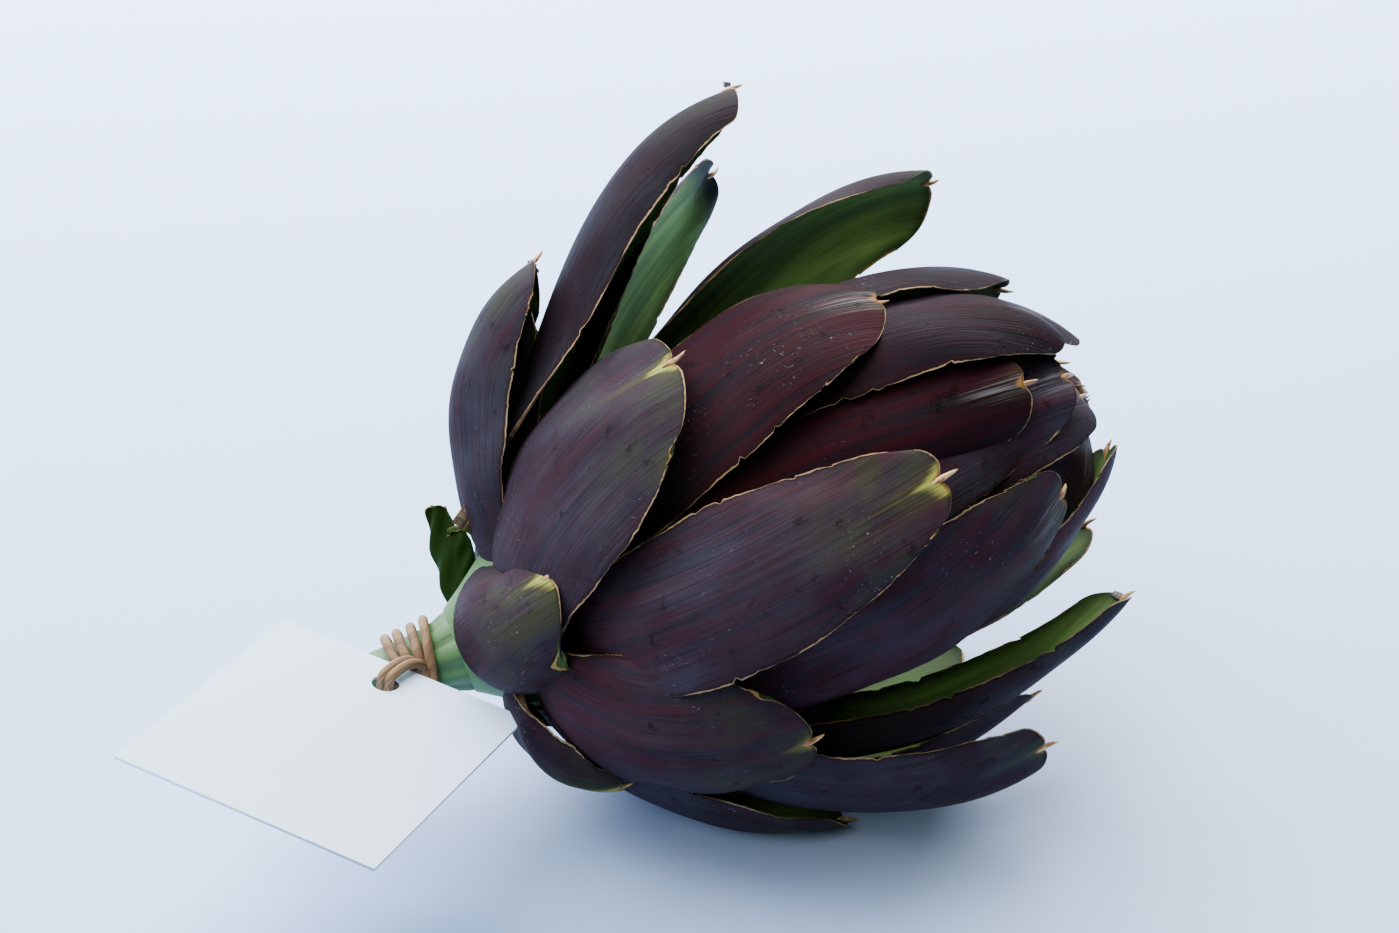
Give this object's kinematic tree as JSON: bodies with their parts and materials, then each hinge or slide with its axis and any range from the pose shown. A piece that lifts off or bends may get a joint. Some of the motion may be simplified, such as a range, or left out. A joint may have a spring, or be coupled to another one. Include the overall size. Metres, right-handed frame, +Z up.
{
  "type": "artichoke",
  "caption": "Purple artichoke with open, splayed outer bracts and a short stem, lying on its side, with a blank square card tied to the stem.",
  "frame": {"origin": "centre of the bounding box's bottom face, on the surface the artichoke lies on", "axes": "+X along the object's length toward the head's tip, +Y away from the side that the picture shows, +Z up"},
  "size_m": [0.1767, 0.1584, 0.1175],
  "materials": {
    "bract_skin": "waxy purple skin with a grey-blue bloom",
    "stem_skin": "matt fibrous green",
    "plant_fibre": "dry twisted fibre",
    "card": "smooth matt white"
  },
  "bodies": {
    "root": {"head": "bract_skin", "stem": "stem_skin", "tie": "plant_fibre", "tag": "card"}
  },
  "joints": []
}
